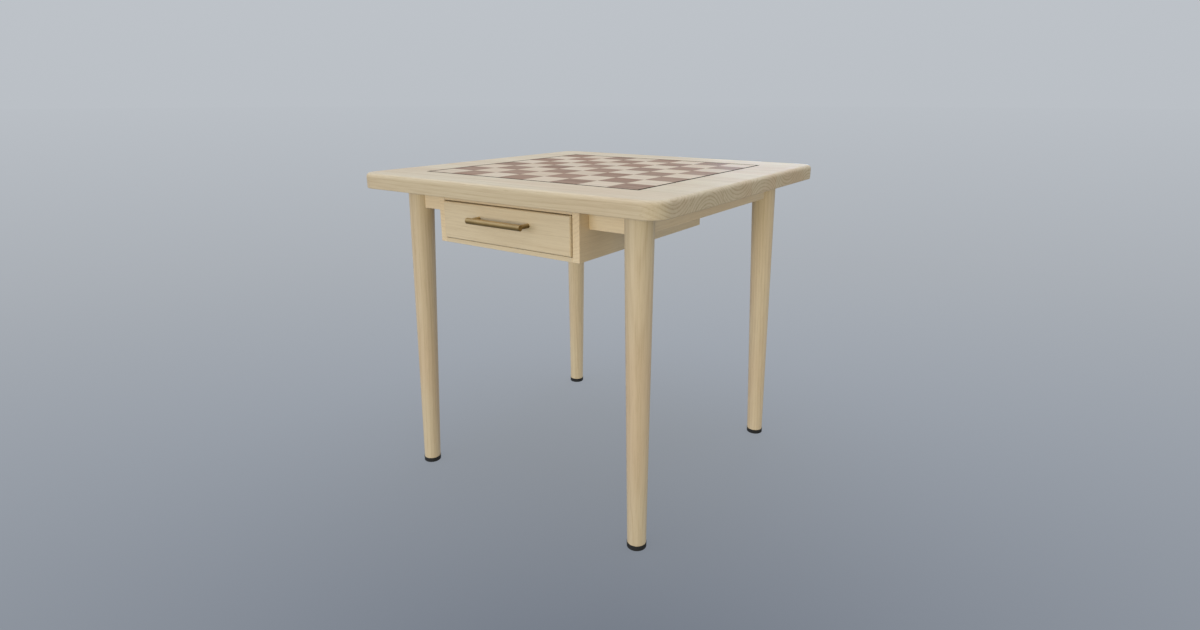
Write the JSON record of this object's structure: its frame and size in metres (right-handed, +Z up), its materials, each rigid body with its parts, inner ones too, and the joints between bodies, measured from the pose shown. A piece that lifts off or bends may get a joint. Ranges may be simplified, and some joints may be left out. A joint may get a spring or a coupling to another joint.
{
  "type": "chess table",
  "caption": "Square wooden chess table with a flush inlaid board, splayed tapered round legs, and a drawer with a bar handle in a box under the front edge.",
  "frame": {"origin": "on the floor, under the middle of the table", "axes": "+Z up, -Y towards the front, where the drawer opens, +X to the right seen from the front"},
  "size_m": [0.75, 0.75, 0.708],
  "materials": {
    "pale_wood": "matt clear oil",
    "light_inlay": "matt clear oil",
    "dark_inlay": "matt clear oil",
    "border_inlay": "matt clear oil",
    "plywood": "sanded",
    "drawer_wood": "sanded",
    "hardwood": "sanded",
    "black_rubber": "matt",
    "aged_bronze": "aged satin",
    "steel": "zinc plated"
  },
  "bodies": {
    "table": {"tabletop": "pale_wood", "board_backing": "plywood", "light_squares": "light_inlay", "dark_squares": "dark_inlay", "border_front": "border_inlay", "border_right": "border_inlay", "border_back": "border_inlay", "border_left": "border_inlay", "tabletop_buttons": "hardwood", "button_screws": "steel", "leg_front_left": "pale_wood", "leg_front_right": "pale_wood", "leg_back_left": "pale_wood", "leg_back_right": "pale_wood", "glide_front_left": "black_rubber", "glide_front_right": "black_rubber", "glide_back_left": "black_rubber", "glide_back_right": "black_rubber", "corner_block_front_left": "hardwood", "corner_block_front_right": "hardwood", "corner_block_back_left": "hardwood", "corner_block_back_right": "hardwood", "hanger_bolts": "steel", "hanger_washers": "steel", "hanger_nuts": "steel", "corner_block_screws": "steel", "apron_back": "pale_wood", "apron_left": "pale_wood", "apron_right": "pale_wood", "apron_front_left": "pale_wood", "apron_front_right": "pale_wood", "apron_stub_screws": "steel", "housing_side_left": "pale_wood", "housing_side_right": "pale_wood", "runner_left": "hardwood", "runner_right": "hardwood", "housing_bottom": "pale_wood", "housing_back": "pale_wood", "housing_rail_front": "pale_wood", "housing_rail_back": "pale_wood", "housing_dowels": "hardwood", "housing_screws": "steel", "runner_screws": "steel", "drawer_stop_pins": "hardwood"},
    "drawer": {"drawer_front": "pale_wood", "drawer_box_front": "drawer_wood", "drawer_back": "drawer_wood", "drawer_bottom": "plywood", "drawer_side_left": "drawer_wood", "drawer_side_right": "drawer_wood", "drawer_front_screws": "steel", "handle_bar": "aged_bronze", "handle_post_left": "aged_bronze", "handle_post_right": "aged_bronze", "handle_screws": "steel"}
  },
  "joints": [
    {"name": "drawer_slide", "type": "slide", "parent": "table", "child": "drawer", "axis": [0, -1, 0], "range_m": [0, 0.3]}
  ]
}
